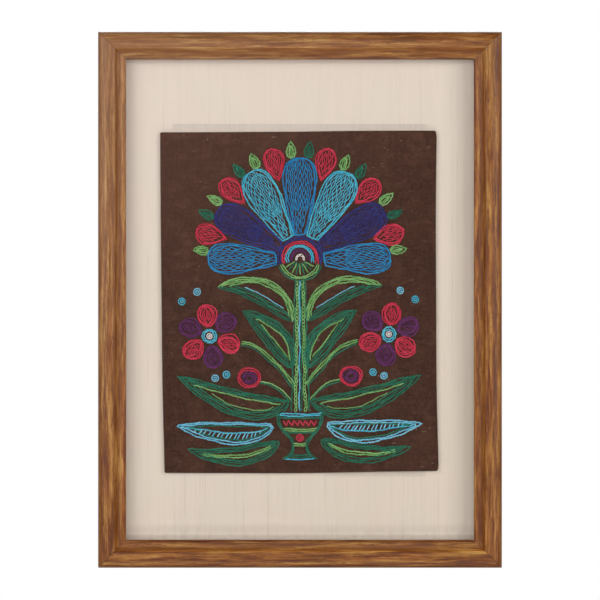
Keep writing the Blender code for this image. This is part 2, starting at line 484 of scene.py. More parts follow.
def wood_finish():
    """Stained, lightly waxed wood: short wavy streaks along each rail, in gold and reddish brown, and dashes.

    Towards the top left corner the finish is paler, with a pinkish haze: painted glare of light from there.
    The hollow, the bead and the step beside the crown get tones of their own on each rail, painted light and
    shade for how each faces the lamps. Each rail is told by where its grain starts. The grain attribute is
    (along the rail, round the section, distance in from the outer edge), in metres.
    """
    made, tree, shader = finish("stained wood", Specular_IOR_Level=0.3)
    grain = own_place(tree, "grain")
    slow = stretched(tree, grain, (22.0, 90.0, 0.0))
    sway = put(tree, "ShaderNodeTexNoise", {"Vector": slow, "Scale": 1.0})
    sway = vectors(tree, "SUBTRACT", sway.outputs["Color"], (0.5, 0.5, 0.5))
    wavy = vectors(tree, "ADD", grain, vectors(tree, "MULTIPLY", sway, (0.0, 0.0038, 0.0)))
    broad = noise(tree, wavy, (20.0, 300.0, 0.0), 2.0, 0.55, 0.2)
    medium = noise(tree, wavy, (58.0, 700.0, 0.0), 2.0, 0.5, 0.25)
    fine = noise(tree, wavy, (170.0, 1900.0, 0.0))
    tone = added(tree, medium, 0.38, times(tree, broad, 0.68))
    tone = added(tree, sums(tree, "SUBTRACT", fine, 0.5), 0.22, tone)
    tone = added(tree, sums(tree, "SUBTRACT", tone, 0.54), 1.24, 0.546)
    gold = ((108, 60, 22), (132, 81, 28), (158, 107, 52), (180, 132, 74), (206, 164, 108))
    red = ((106, 54, 25), (126, 70, 33), (152, 93, 50), (174, 118, 71), (196, 143, 93))
    gold = ramp(tree, tone, *zip((0.37, 0.46, 0.54, 0.62, 0.73), (dye(*shade) for shade in gold)))
    red = ramp(tree, tone, *zip((0.37, 0.47, 0.56, 0.66, 0.76), (dye(*shade) for shade in red)))
    hue = noise(tree, wavy, (20.0, 210.0, 0.0), 2.0, 0.6)
    colour = blend(tree, spread(tree, hue, 0.4, 0.58, 0.08, 0.8), gold, red)
    # short dark dashes, gathered in patches
    patches = spread(tree, noise(tree, wavy, (34.0, 300.0, 0.0), 1.0), 0.42, 0.6, 0.25, 0.95)
    dashes = spread(tree, noise(tree, wavy, (230.0, 1700.0, 0.0), 2.0, 0.5, 0.6), 0.56, 0.68)
    dashes = times(tree, dashes, patches)
    colour = blend(tree, dashes, colour, dye(92, 46, 16))
    # which rail, and where on it
    parts = parts_of(tree, grain)
    inward = parts["Z"]
    on_top, on_right, on_bottom = (
        sums(tree, "COMPARE", parts["X"], GRAIN_STARTS[name], 0.4)
        for name in ("rail_top", "rail_right", "rail_bottom")
    )
    level_rail = sums(tree, "ADD", on_top, on_bottom)
    hollow = band(tree, inward, (0.0122, 0.0144), (0.0152, 0.0186))
    bead = spread(tree, inward, HOLLOW_END, HOLLOW_END + 0.0006)
    step = band(tree, inward, (CROWN_END - 0.0008, CROWN_END), (STEP_END, STEP_END + 0.0007))
    # a rim along the outer edge: dark on the level rails, and pale on the upright ones as a painted reflection
    # of the white surround
    rim = spread(tree, inward, 0.0004, 0.0034, 0.45, 0.0)
    colour = blend(tree, rim, colour, blend(tree, level_rail, dye(176, 136, 112), dye(110, 62, 38)))
    # paler towards the top left corner, with a pinkish haze there: painted glare of light from the upper left
    place = parts_of(tree, object_place(tree))
    painted_corner_glare = spread(tree, added(tree, place["X"], -1.2, place["Z"]), -0.28, 0.12)
    colour = tinted(tree, colour, blend(tree, painted_corner_glare, dye(238, 224, 192), WHITE))
    painted_corner_sheen = spread(tree, added(tree, place["X"], -0.9, place["Z"]), -0.2, 0.16, 0.0, 0.5)
    colour = blend(tree, painted_corner_sheen, colour, dye(158, 114, 84))
    # darker along the hollow, broken up by the hue; less and paler on the bottom rail, as painted light on its
    # upward-facing hollow
    hollow_darkening = times(tree, hollow, spread(tree, on_bottom, 0.0, 1.0, 0.7, 0.5))
    hollow_darkening = times(tree, hollow_darkening, spread(tree, hue, 0.38, 0.6, 0.35, 1.0))
    colour = blend(tree, hollow_darkening, colour, blend(tree, on_bottom, dye(114, 62, 12), dye(142, 92, 52)))
    # painted light and shade: bead, hollow and step made lighter or darker on each rail for how it faces the
    # lamps
    painted_bead_light = blend(tree, level_rail, (1.14, 1.13, 1.06, 1.0), (0.82, 0.8, 0.76, 1.0))
    tint = blend(tree, bead, blend(tree, on_bottom, WHITE, (0.97, 0.96, 0.82, 1.0)), painted_bead_light)
    painted_hollow_light = blend(tree, on_right, (1.0, 0.97, 0.84, 1.0), (0.9, 0.82, 0.6, 1.0))
    tint = blend(tree, hollow, tint, blend(tree, on_bottom, painted_hollow_light, (1.08, 1.14, 1.3, 1.0)))
    step = times(tree, step, spread(tree, level_rail, 0.0, 1.0, 0.45, 0.8))
    tint = blend(tree, step, tint, (1.4, 1.42, 1.4, 1.0))
    colour = tinted(tree, tinted(tree, colour, tint), dye(242, 240, 228))
    height = added(tree, dashes, -0.7, times(tree, fine, 0.5))
    drive(tree, shader, colour, spread(tree, medium, 0.3, 0.7, 0.32, 0.46), height, 0.00012, 0.5)
    return made


# Silk, board and glass


def silk_ground():
    """The cream silk: a closed sheet over the board, its front a plane with gentle waves and fine slubs."""
    low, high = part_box("silk_ground")
    across = np.linspace(low.x, high.x, 116)
    up = np.linspace(low.z, high.z, 154)
    grid_up, grid_across = np.meshgrid(up, across, indexing="ij")
    depth = SILK_FRONT - 0.00008 + smooth_waves(grid_across, grid_up, 0.05, 0.00003, 8, 5)
    slub = smooth_waves(grid_across * 30, grid_up, 0.09, 0.00001, 10, 6)
    edge = np.minimum.reduce([grid_across - low.x, high.x - grid_across, grid_up - low.z, high.z - grid_up])
    depth = depth + slub - 0.0003 * np.clip(1 - edge / 0.001, 0, 1) ** 2
    points, faces = sheet_solid(grid_across, grid_up, depth, np.full_like(depth, SILK_BACK))
    made = piece_from("silk", points, faces, sharp=math.radians(40))
    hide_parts("silk_ground")
    return made


def silk_finish():
    """Cream silk: a close plain weave with upright slubs, faintly warm and cool patches, and a soft sheen.

    It is painted darker towards the bottom right, as light falls off. Beside the right rail lies a painted
    shadow, and above the bottom rail a paler strip of painted light with a pale line and small damp stains. A
    grey band of painted shadow lies along the top edge of the brown cloth, and a line of painted shadow under
    its right half.
    """
    made, tree, shader = finish("cream silk", Sheen_Weight=0.12, Sheen_Roughness=0.35, Specular_IOR_Level=0.3)
    place = object_place(tree)
    parts = parts_of(tree, place)
    across, up = parts["X"], sums(tree, "SUBTRACT", parts["Z"], CENTRE_UP)
    weave = use(tree, PLAIN_WEAVE, Place=place, Pitch=0.00042, Wander=0.0003)
    slubs = noise(tree, place, (1500.0, 1.0, 34.0))
    wide = noise(tree, place, (360.0, 1.0, 10.0))
    cloud = noise(tree, place, 22.0)
    colour = blend(tree, spread(tree, cloud, 0.35, 0.65), dye(239, 221, 209), dye(240, 220, 209))
    streak = added(tree, wide, 0.5, times(tree, slubs, 0.5))
    colour = blend(tree, spread(tree, streak, 0.36, 0.64, 0.01, 0.16), colour, dye(214, 198, 180))
    colour = blend(tree, times(tree, weave["Thread"], 0.07), colour, dye(205, 186, 166))
    # long thin slubs that come and go
    broken = spread(tree, noise(tree, place, (70.0, 1.0, 46.0)), 0.42, 0.6, 0.15, 1.0)
    long_slubs = spread(tree, noise(tree, place, (760.0, 1.0, 2.4), 1.0), 0.63, 0.69)
    colour = blend(tree, times(tree, long_slubs, broken, 0.24), colour, dye(160, 146, 130))
    # painted light falloff, darker towards the bottom right; a painted shadow beside the right rail; a paler
    # strip of painted light at the foot with a pale line in it
    painted_falloff = spread(tree, added(tree, across, -0.6, up), -0.2, 0.2, smooth=False)
    colour = tinted(tree, colour, blend(tree, painted_falloff, (0.926, 0.926, 0.889, 1.0), WHITE))
    # painted shadow of the right rail, in a band beside it
    colour = blend(tree, band(tree, across, (0.106, 0.1246), (0.125, 0.1286), 0.0, 0.12), colour, BLACK)
    # a paler strip of painted light at the foot, where the bottom rail's shadow falls, and a pale line in it
    for rise, fall, tint in (
        ((-0.179, -0.1745), (-0.171, -0.162), (1.1, 1.1, 1.11, 1.0)),
        ((-0.179, -0.1776), (-0.177, -0.175), (1.1, 1.11, 1.15, 1.0)),
    ):
        colour = tinted(tree, colour, blend(tree, band(tree, up, rise, fall), WHITE, tint))
    damp = spread(tree, noise(tree, place, (210.0, 1.0, 120.0), 3.0, 0.6), 0.46, 0.64)
    damp = times(tree, damp, spread(tree, up, -0.18, -0.17, 0.16, 0.0))
    colour = blend(tree, damp, colour, dye(166, 150, 126))
    # a grey band along the brown cloth's top edge: painted shadow of the raised cloth
    ends = spread(tree, sums(tree, "ABSOLUTE", across), 0.0955, 0.0972, 1.0, 0.0)
    faint = spread(tree, slubs, 0.36, 0.64, 0.45, 1.0)
    grey = times(tree, band(tree, up, (0.1276, 0.1322), (0.1328, 0.1335), 0.1), ends, faint, 0.74)
    colour = blend(tree, grey, colour, dye(203, 187, 178))
    # a line of painted shadow under the right half of the brown cloth
    dust = band(tree, up, (-0.1352, -0.1326), (-0.125, -0.124))
    dust = times(tree, dust, band(tree, across, (0.012, 0.03), (0.093, 0.097), 0.0, 0.5))
    colour = blend(tree, dust, colour, dye(190, 174, 163))
    colour = blend(tree, times(tree, weave["Gap"], 0.17), colour, dye(170, 150, 130))
    height = added(tree, slubs, 0.7, weave["Height"])
    drive(tree, shader, colour, spread(tree, slubs, 0.3, 0.7, 0.5, 0.66), height, 0.00004, 0.18)
    return made


def board_finish():
    """Pressed brown fibre board: mottled fibres and darker flecks."""
    made, tree, shader = finish("pressed board", Specular_IOR_Level=0.25)
    place = object_place(tree)
    fibres = noise(tree, place, (500.0, 500.0, 1300.0), 4.0, 0.65, turn=0.5)
    mottle = noise(tree, place, 150.0, 4.0, 0.6)
    tone = added(tree, fibres, 0.72, times(tree, mottle, 0.28))
    colour = ramp(tree, tone, (0.32, dye(112, 80, 54)), (0.5, dye(148, 113, 80)), (0.7, dye(178, 145, 108)))
    specks = use(tree, LINT, Place=place, Amount=0.12)
    colour = blend(tree, times(tree, specks["Fibres"], 0.5), colour, dye(84, 58, 38))
    drive(tree, shader, colour, spread(tree, mottle, 0.3, 0.7, 0.72, 0.92), fibres, 0.00012, 0.6)
    return made


def glass_finish():
    """Clear picture glass with a faint film of dust. Light on its way to the cloth passes right through."""
    shell = dict(Transmission_Weight=1.0, Metallic=0.0, IOR=1.45, Specular_IOR_Level=0.5)
    made, tree, shader = finish("picture glass", **shell)
    place = object_place(tree)
    film = noise(tree, place, 14.0, 3.0)
    smear = noise(tree, place, (60.0, 1.0, 18.0), 3.0, turn=0.7)
    rough = spread(tree, times(tree, film, smear), 0.2, 0.5, 0.0, 0.02)
    colour = blend(tree, film, dye(252, 254, 253), dye(250, 252, 250))
    drive(tree, shader, colour, rough, smear, 0.00001, 0.05)
    clear = put(tree, "ShaderNodeBsdfTransparent", {"Color": (0.97, 0.975, 0.97, 1.0)})
    path = put(tree, "ShaderNodeLightPath").outputs
    show_both(tree, sums(tree, "MAXIMUM", path["Is Shadow Ray"], path["Is Diffuse Ray"]), shader, clear)
    return made


# The brown cloth

# Its sides, clockwise from the top left corner: points from the picture's centre, in metres
CLOTH_TOP = ((-0.1059, 0.1267), (0.1027, 0.1280))
CLOTH_RIGHT = ((0.1027, 0.1280), (0.1035, 0.1237), (0.1049, -0.1267), (0.1042, -0.1296))
CLOTH_BOTTOM = ((0.1042, -0.1296), (-0.1025, -0.1311))
CLOTH_LEFT = ((-0.1025, -0.1311), (-0.1059, 0.1267))
TOP_BOWS, RIGHT_BOWS = (-0.0001, -0.0001, 0.0002), (-0.0010, -0.0011, -0.0011)
BOTTOM_BOWS, LEFT_BOWS = (0.0003, 0.0009, 0.0005), (0.0007, 0.0006, 0.0004)
CLOTH_CORNER = 0.0012
CLOTH_EDGE = 0.0009  # width of the rounding at its edge
CLOTH_WIDE, CLOTH_TALL, CLOTH_PITCH = 0.209, 0.259, 0.0021


def bowed_side(points, bows, parts):
    """Places along a side: its straight pieces by length, moved outwards by a smooth curve through bows."""
    points = np.array(points)
    lengths = run_along(points)
    place = at_distances(parts, lengths / lengths[-1], points)
    knots = np.array([-bows[0], 0.0, *bows, 0.0, -bows[-1]])
    index = np.minimum((parts * 4).astype(int), 3)
    t = parts * 4 - index
    a, b, c, d = (knots[index + i] for i in range(4))
    cubic = (3 * b - a - 3 * c + d) * t**3
    bow = 0.5 * (2 * b + (c - a) * t + (2 * a - 5 * b + 4 * c - d) * t**2 + cubic)
    run = points[-1] - points[0]
    outward = np.array([-run[1], run[0]]) / np.hypot(*run)
    return place + bow[:, None] * outward


def side_parts(length, pitch):
    """Places from 0 to 1 along a side, close together at both ends where the edge is rounded."""
    near = np.array([0.0, 0.00012, 0.0003, 0.0006, 0.0010, 0.0016, 0.0024]) / length
    middle = np.linspace(near[-1], 1 - near[-1], int(length / pitch))[1:-1]
    return np.concatenate([near, middle, 1 - near[::-1]])


def cloth_grid():
    """The cloth's plan as a Coons patch, and each point's distance from the edge.

    A point blends the four bowed sides: one way, plus the other way, less the blend of the four corners. Near
    a corner it is moved from the square to the quarter disc by (a sqrt(1 - b^2/2), b sqrt(1 - a^2/2)).
    """
    u, v = side_parts(CLOTH_WIDE, CLOTH_PITCH), side_parts(CLOTH_TALL, CLOTH_PITCH)
    top = bowed_side(CLOTH_TOP, TOP_BOWS, u)
    bottom = bowed_side(CLOTH_BOTTOM, BOTTOM_BOWS, 1 - u)
    left = bowed_side(CLOTH_LEFT, LEFT_BOWS, 1 - v)
    right = bowed_side(CLOTH_RIGHT, RIGHT_BOWS, v)
    from_left, from_top = u * CLOTH_WIDE, v * CLOTH_TALL
    near_side = np.minimum(from_left, CLOTH_WIDE - from_left)[None, :]
    near_end = np.minimum(from_top, CLOTH_TALL - from_top)[:, None]
    a = np.clip(1 - near_side / CLOTH_CORNER, 0, 1) + 0 * near_end
    b = np.clip(1 - near_end / CLOTH_CORNER, 0, 1) + 0 * near_side
    pull_across = a * (1 - np.sqrt(1 - b**2 / 2)) * CLOTH_CORNER
    pull_up = b * (1 - np.sqrt(1 - a**2 / 2)) * CLOTH_CORNER
    u2, v2 = u[None, :, None], v[:, None, None]
    plan = (1 - v2) * top[None] + v2 * bottom[None] + (1 - u2) * left[:, None] + u2 * right[:, None]
    for share, side in ((1 - v2, top), (v2, bottom)):
        plan = plan - share * ((1 - u2) * side[0] + u2 * side[-1])
    plan[..., 0] += pull_across * np.sign(0.5 - u)[None, :]
    plan[..., 1] -= pull_up * np.sign(0.5 - v)[:, None]
    return plan, np.minimum(near_side, near_end)


def brown_cloth(threads):
    """The brown cloth: its plan at the front height, less a quarter-circle drop at its rim, plus puckers."""
    plan, edge = cloth_grid()
    across, up = plan[..., 0], plan[..., 1]
    drop = CLOTH_EDGE * (1 - np.sqrt(1 - np.clip(1 - edge / CLOTH_EDGE, 0, 1) ** 2))
    pucker = smooth_waves(across, up, 0.022, 0.00005, 12, 7) * np.clip(edge / 0.006, 0, 1)
    front_depth = CLOTH_FRONT - 0.0001 - drop + pucker
    back_depth = CLOTH_BACK + 0.0004 * np.clip(1 - edge / 0.0006, 0, 1) ** 2
    points, faces = sheet_solid(across, up + CENTRE_UP, front_depth, back_depth)
    made = piece_from("brown_cloth", points, faces[:, ::-1], sharp=math.radians(60))
    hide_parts("embroidery_cloth")
    return made


def brown_cloth_finish():
    """Dark brown plain-woven cloth: two-tone threads, upright and level bars, light and dark blots, and lint.

    It is paler towards its top left corner: painted glare reflected in the glass.
    """
    made, tree, shader = finish("brown cloth", Sheen_Weight=0.06, Sheen_Roughness=0.5, Specular_IOR_Level=0.1)
    place = object_place(tree)
    weave = use(tree, PLAIN_WEAVE, Place=place, Pitch=0.00055, Wander=0.0012)
    patches = noise(tree, place, 24.0, 3.0, 0.6)
    mottle = noise(tree, place, 420.0, 3.0, 0.6)
    upright = noise(tree, place, (420.0, 1.0, 26.0))
    level = noise(tree, place, (30.0, 1.0, 460.0))
    light_blots = noise(tree, place, 96.0, 4.0, 0.7, 0.8)
    dark_blots = noise(tree, place, (74.0, 1.0, 120.0), 4.0, 0.7, 0.8, 0.4)
    colour = blend(tree, spread(tree, patches, 0.35, 0.65), dye(68, 39, 28), dye(80, 47, 34))
    for value, low, high, amount, paint in (
        (light_blots, 0.46, 0.64, 0.7, dye(102, 69, 54)),
        (dark_blots, 0.44, 0.62, 0.75, dye(52, 28, 19)),
        (upright, 0.4, 0.66, 0.24, dye(96, 61, 46)),
        (level, 0.42, 0.66, 0.3, dye(56, 32, 23)),
        (mottle, 0.38, 0.7, 0.5, dye(100, 66, 51)),
    ):
        colour = blend(tree, spread(tree, value, low, high, 0.0, amount), colour, paint)
    colour = blend(tree, times(tree, weave["Thread"], 0.24), colour, dye(50, 29, 20))
    colour = blend(tree, times(tree, weave["Gap"], 0.6), colour, dye(30, 17, 12))
    parts = parts_of(tree, place)
    # paler towards the top left corner: painted glare reflected in the glass
    painted_corner_glare = spread(tree, added(tree, parts["X"], -0.8, parts["Z"]), -0.2, 0.02, 0.0, 0.3)
    colour = blend(tree, painted_corner_glare, colour, dye(112, 78, 66))
    colour = tinted(tree, colour, (0.94, 0.92, 0.91, 1.0))
    lint = use(tree, LINT, Place=place, Amount=0.045)
    specks = sums(tree, "MAXIMUM", lint["Specks"], times(tree, lint["Fibres"], 0.6))
    specks = times(tree, specks, spread(tree, patches, 0.4, 0.6, 0.12, 0.6))
    colour = blend(tree, specks, colour, dye(164, 142, 128))
    height = sums(tree, "ADD", weave["Height"], specks)
    drive(tree, shader, colour, spread(tree, mottle, 0.3, 0.7, 0.82, 0.95), height, 0.00012, 0.6)
    return made


# Rows of stitches

KINDS = {  # length of a stitch, overall width, radius of the thread and overlap, in millimetres
    "chain": dict(length=2.6, width=2.05, radius=0.36),
    "broad": dict(length=2.7, width=2.7, radius=0.42),
    "stem": dict(length=3.2, width=0.75, radius=0.5, overlap=0.75),
    "fine": dict(length=2.6, width=0.4, radius=0.36, overlap=0.5),
    "small": dict(length=1.5, width=0.3, radius=0.44, overlap=0.4),
    "net": dict(width=0.0, radius=0.42, overlap=0.2),
    "bar": dict(width=0.75, radius=0.5, overlap=0.2),
}
CHAIN_LAP = 0.45  # how far a loop reaches past both its ends
NET_STEP = 2.3  # two points of a wavy row
NET_ROOM = (0.62, 0.32, 0.62, 0.14)  # how narrow each row of four may get, as a share of the pitch
rows = []  # (colour, kind of stitch, points in millimetres from the picture's centre)


def add_row(colour, kind, points):
    """Notes one row of stitches, to be worked later."""
    rows.append((colour, kind, np.asarray(points, float)))


def bezier(*controls, steps=60):
    """Points on the Bezier curve of any number of control points, by repeated blending."""
    t = np.linspace(0, 1, steps)[:, None]
    points = [np.asarray(c, float)[None] + 0 * t for c in controls]
    while len(points) > 1:
        points = [a * (1 - t) + b * t for a, b in zip(points, points[1:])]
    return points[0]


def beside(points, distance):
    """A curve moved to its left by a distance, along its normals."""
    tangent = np.gradient(points, axis=0)
    tangent /= np.hypot(*tangent.T)[:, None]
    return points + distance * np.stack([-tangent[:, 1], tangent[:, 0]], -1)


def straight(base, angle, near, far):
    """A straight axis on a ray from base, at an angle from upright in degrees, from a near to a far reach."""
    way = np.array([math.sin(math.radians(angle)), math.cos(math.radians(angle))])
    return np.asarray(base, float) + way * np.linspace(near, far, 70)[:, None]


def ring(centre, radius, first=0.0, last=360.0, squash=1.0):
    """An arc of an ellipse from one angle to another, in degrees from the right, anticlockwise."""
    turn = np.radians(np.linspace(first, last, 72))
    return np.asarray(centre, float) + radius * np.stack([np.cos(turn), squash * np.sin(turn)], -1)


def rings(centre, radii, colour, kind, squash=1.0):
    """Whole rings round one centre, in a given order."""
    for radius in radii:
        add_row(colour, kind, ring(centre, radius, squash=squash))


class Blade:
    """A petal or leaf about an axis: half-width half_width sin(pi s^belly)^blunt, s from base to tip."""

    def __init__(self, axis, half_width, belly=1.0, blunt=0.75):
        self.axis = axis
        self.s = np.linspace(0, 1, len(axis))
        self.widths = half_width * np.sin(np.pi * self.s**belly) ** blunt
        self.normal = beside(axis, 1.0) - axis

    def outline(self, *plan):
        """Closed rows inside the outline: each of plan is (colour, kind, insets)."""
        for colour, kind, insets in plan:
            for inset in insets:
                inside = self.widths - inset
                keep = inside > 0
                if keep.sum() < 6:
                    continue
                side = self.normal[keep] * inside[keep, None]
                near, far = self.axis[keep] + side, self.axis[keep] - side
                add_row(colour, kind, np.concatenate([near, far[::-1], near[:1]]))

    def net(self, colour, inset, pitch, sway):
        """Wavy rows from base to tip, fanned across the width, that touch here and there and leave gaps.

        Point k of row j lies at share_j of the half-width, plus sway sin(phase_j + 1.15 k) and a small random
        amount along the normal.
        """
        inner = self.widths - inset
        count = max(1, int(round(2 * inner.max() / pitch)))
        travelled = run_along(self.axis)
        for row in range(count):
            marks = np.arange(NET_STEP * rng.uniform(0.1, 0.9), travelled[-1], NET_STEP * 0.5)
            axis, normal = (at_distances(marks, travelled, line) for line in (self.axis, self.normal))
            room = np.interp(marks, travelled, inner)
            share = 2 * (row + 0.5) / count - 1
            keep = np.flatnonzero((room > 0.1) & (2 * room / count > pitch * NET_ROOM[row % 4]))
            if len(keep) < 3:
                continue
            zig = sway * np.sin(rng.uniform(0, math.tau) + 1.15 * keep) + rng.normal(0, 0.1, len(keep))
            add_row(colour, "net", axis[keep] + normal[keep] * (share * room[keep] + zig)[:, None])

    def flank(self, side, colour, kind, insets, first=0.0, last=1.0):
        """Open rows from base to tip on one side of the axis, side by side, each inset from the outline."""
        for inset in insets:
            reach = np.clip(self.widths - inset, 0.0, None)
            keep = (self.s >= first) & (self.s <= last) & (reach > (0.0 if inset else -1.0))
            if keep.sum() > 5:
                add_row(colour, kind, (self.axis + side * self.normal * reach[:, None])[keep])

    def along(self, colour, kind, share, first=0.06, last=0.94):
        """An open row from near the base to near the tip, at a share of the half-width."""
        keep = (self.s >= first) & (self.s <= last)
        add_row(colour, kind, (self.axis + self.normal * (share * self.widths)[:, None])[keep])

    def bars(self, colour, share, every=3.3):
        """Short straight bars from the axis out to a share of the half-width, leaning towards the tip."""
        length = run_along(self.axis)[-1]
        for s in np.arange(0.16, 0.84, every / length):
            index = int(s * (len(self.s) - 1))
            ahead = self.axis[index + 1] - self.axis[index]
            lean = ahead / np.hypot(*ahead) * abs(self.widths[index]) * 0.45
            reach = self.normal[index] * self.widths[index] * share
            add_row(colour, "bar", np.stack([self.axis[index], self.axis[index] + reach + lean]))


def both_sides(half, spin=0.8):
    """Works a motif on the left and on the right, each turned and sized a little differently, as by hand."""
    for side in (-1, 1):
        turn = math.radians(rng.uniform(-spin, spin))
        size = rng.uniform(0.985, 1.015)
        across = np.array([math.cos(turn), math.sin(turn)]) * size
        up = np.array([-math.sin(turn), math.cos(turn)]) * size
        pivot = np.array([0.0, -20.0])

        def placed(points, side=side, across=across, up=up, pivot=pivot):
            moved = np.asarray(points, float) - pivot
            return (moved[..., :1] * across + moved[..., 1:] * up + pivot) * (side, 1)

        half(placed)


FAN_HEART = (0.0, 31.0)


class FanPetal(Blade):
    """A petal of the fan: at r from the heart, half-width r tan(angle) sqrt(1 - s^4), s from base to tip."""

    def __init__(self, turn, near, far, angle):
        super().__init__(straight(FAN_HEART, turn, near, far), 1.0)
        reach = near + (far - near) * self.s
        self.widths = reach * math.tan(math.radians(angle)) * np.sqrt(1 - self.s**4)


def fan_bloom():
    """The big fan-shaped bloom: seven petals round a half-round heart, buds in the notches, leaves beyond."""
    petals = (  # angle, how far it reaches, half its angle, colour of its rows
        (0, 77, 13.6, "blue"),
        (-30, 76, 13.6, "turquoise"),
        (30, 75, 13.8, "turquoise"),
        (-60, 73, 13.4, "navy"),
        (60, 74, 13.4, "navy"),
        (-90, 70, 13.6, "blue"),
        (89.5, 69, 13.8, "blue"),
    )
    for turn, reach, angle, colour in petals:
        petal = FanPetal(turn, 18.0, reach, angle)
        petal.outline((colour, "stem", (0.0, 1.5)))
        close = colour == "navy"
        petal.net(colour, 2.7, 1.35 if close else 1.62, 0.2 if close else 0.44)
    for turn in (-75, -45, -15, 15, 45, 75):
        axis = straight(FAN_HEART, turn, 62 - abs(turn) * 0.06, 87.5 - abs(turn) * 0.08)
        bud = Blade(axis, 7.9, 1.5, 0.62)
        bud.outline(("crimson", "stem", (0.0, 1.45)))
        bud.net("crimson", 2.6, 1.5, 0.34)
    for index, (turn, reach, angle, _) in enumerate(petals):
        for side in (-1, 1):
            if abs(turn + 5.0 * side) > 92:
                continue
            colour = ("light_green", "dark_green")[(index + (side > 0)) % 2]
            axis = straight(FAN_HEART, turn + 4.8 * side, reach - 0.6, reach + 12.4)
            leaf = Blade(axis, 3.3, 0.6, 0.9)
            leaf.outline((colour, "stem", (0.1, 1.5)))
            leaf.along(colour, "stem", 0.0, 0.2, 0.75)
    # the heart: half rings of navy, crimson, turquoise and purple round a small white arch
    for colour, radii in (
        ("navy", (16.4, 15.0)),
        ("crimson", (13.5, 12.0)),
        ("turquoise", (10.4, 9.0)),
        ("purple", (7.2, 5.9)),
    ):
        for radius in radii:
            add_row(colour, "stem", ring(FAN_HEART, radius, -14, 194))
    add_row("white", "chain", ring(FAN_HEART, 3.0, -14, 194))
    for radius, colour in ((16.8, "dark_green"), (15.2, "light_green"), (13.8, "light_green")):
        add_row(colour, "stem", ring(FAN_HEART, radius, 199, 341))
    for index, turn in enumerate((120, 135, 150, 165, 180, 195, 210, 225, 240)):
        colour = ("light_green", "dark_green")[index % 2]
        add_row(colour, "stem", straight(FAN_HEART, turn, 4.6 - 1.2 * (index % 2), 11.8))


def main_stem():
    """Upright rows side by side, from under the big bloom down to the pot."""
    left = ((-5.0, "dark_green"), (-2.7, "light_green"), (-0.4, "sky"))
    right = ((1.0, "dark_green"), (3.2, "light_green"), (5.4, "dark_green"))
    for across, colour in left + right:
        kind = "broad" if colour == "light_green" else "stem"
        controls = ((0.7, 14), (0.8, 0), (0.9, -40), (1.3, -84))
        add_row(colour, kind, bezier(*((across * share, up) for share, up in controls)))


def banded_leaf(side, controls, half_width, inner, outer_rows, inner_rows, *veins):
    """A leaf with an open middle: dark green along its outer side, the colour inner along the other.

    Each vein is a row of its own: 1 for the outer side or -1 for the inner one, its colour, its kind of
    stitch, how far it lies in from the outline, and where it starts and ends.
    """
    leaf = Blade(side(bezier(*controls, steps=80)), half_width, 0.85, 0.7)
    flip = 1 if side((1.0, 0.0))[..., 0] < 0 else -1
    leaf.flank(flip, "dark_green", "stem", [1.75 * k for k in range(outer_rows)])
    leaf.flank(-flip, inner, "stem", [1.35 * k for k in range(inner_rows)])
    for way, colour, kind, inset, first, last in veins:
        leaf.flank(way * flip, colour, kind, (inset,), first, last)
    return leaf


def upper_leaves():
    """Two pairs of upright leaves beside the stem, between the big bloom and the side blooms."""

    def half(side):
        controls = ((6, -16), (16, 4), (34, 14), (62, 11))
        banded_leaf(side, controls, 9.6, "light_green", 4, 4, (1, "sky", "fine", 7.0, 0.16, 0.82))
        veins = ((-1, "light_green", "stem", 5.4, 0.1, 0.9), (1, "light_green", "stem", 6.9, 0.16, 0.84))
        banded_leaf(side, ((7, -52), (10, -34), (24, -20), (43, -8)), 9.4, "dark_green", 4, 4, *veins)

    both_sides(half)


def side_blooms():
    """An arching stem on either side, with a six-petalled bloom, a bud and berries."""

    def half(side):
        stem = bezier((6, -66), (20, -48), (31, -36), (44, -34))
        add_row("dark_green", "stem", side(stem))
        add_row("light_green", "stem", side(beside(stem, 1.7)))
        add_row("light_green", "stem", side(beside(stem, 3.1)))
        centre = np.array([68.0, -27.0])
        for index in range(6):
            angle = 60.0 * index + 8.0
            petal = Blade(side(straight(centre, angle, 7.2, 24.0)), 7.3, 1.15, 0.5)
            colour = ("crimson", "purple")[index % 2]
            petal.outline((colour, "stem", (0.0, 1.4, 2.8)))
            petal.net(colour, 3.9, 1.45, 0.25)
        rings(side(centre), (5.4, 4.0), "turquoise", "stem")
        rings(side(centre), (2.0, 0.9), "white", "small")
        lower = bezier((7, -76), (14, -66), (22, -62), (30, -61))
        add_row("light_green", "stem", side(lower))
        add_row("dark_green", "stem", side(beside(lower, -1.6)))
        rings(side((38.5, -58.5)), (8.6, 7.2), "crimson", "stem", 0.86)
        rings(side((38.5, -58.5)), (5.6, 4.2, 2.8), "purple", "stem", 0.86)
        for across, up, colour in (
            (77.0, 6.5, "sky"),
            (88.5, -0.5, "turquoise"),
            (55.5, -56.0, "turquoise"),
            (64.0, -58.5, "sky"),
        ):
            rings(side((across, up)), (2.5, 1.2), colour, "small")

    both_sides(half)


def lower_leaves():
    """Three pairs of broad curved leaves: bands of green and sky blue, veins, and a comb of bars."""

    def half(side):
        veins = ((1, "light_green", "fine", 7.0, 0.12, 0.86), (-1, "light_green", "stem", 4.4, 0.1, 0.9))
        banded_leaf(side, ((8, -77), (30, -88), (58, -77), (92, -58)), 9.6, "dark_green", 4, 3, *veins)
        leaf = Blade(side(bezier((20, -95), (40, -105), (62, -100), (93, -95), steps=80)), 8.2, 0.85, 0.7)
        leaf.outline(("sky", "stem", (0.0, 1.4)), ("dark_green", "stem", (3.0,)))
        leaf.along("turquoise", "stem", 0.0, 0.05, 0.93)
        leaf.bars("sky", 0.6)
        controls = ((16, -107), (30, -118), (54, -123), (84, -113))
        leaf = banded_leaf(side, controls, 7.0, "dark_green", 3, 3)
        for share in (0.14, -0.12):
            leaf.along("light_green", "stem", share, 0.12, 0.88)

    both_sides(half, 0.5)


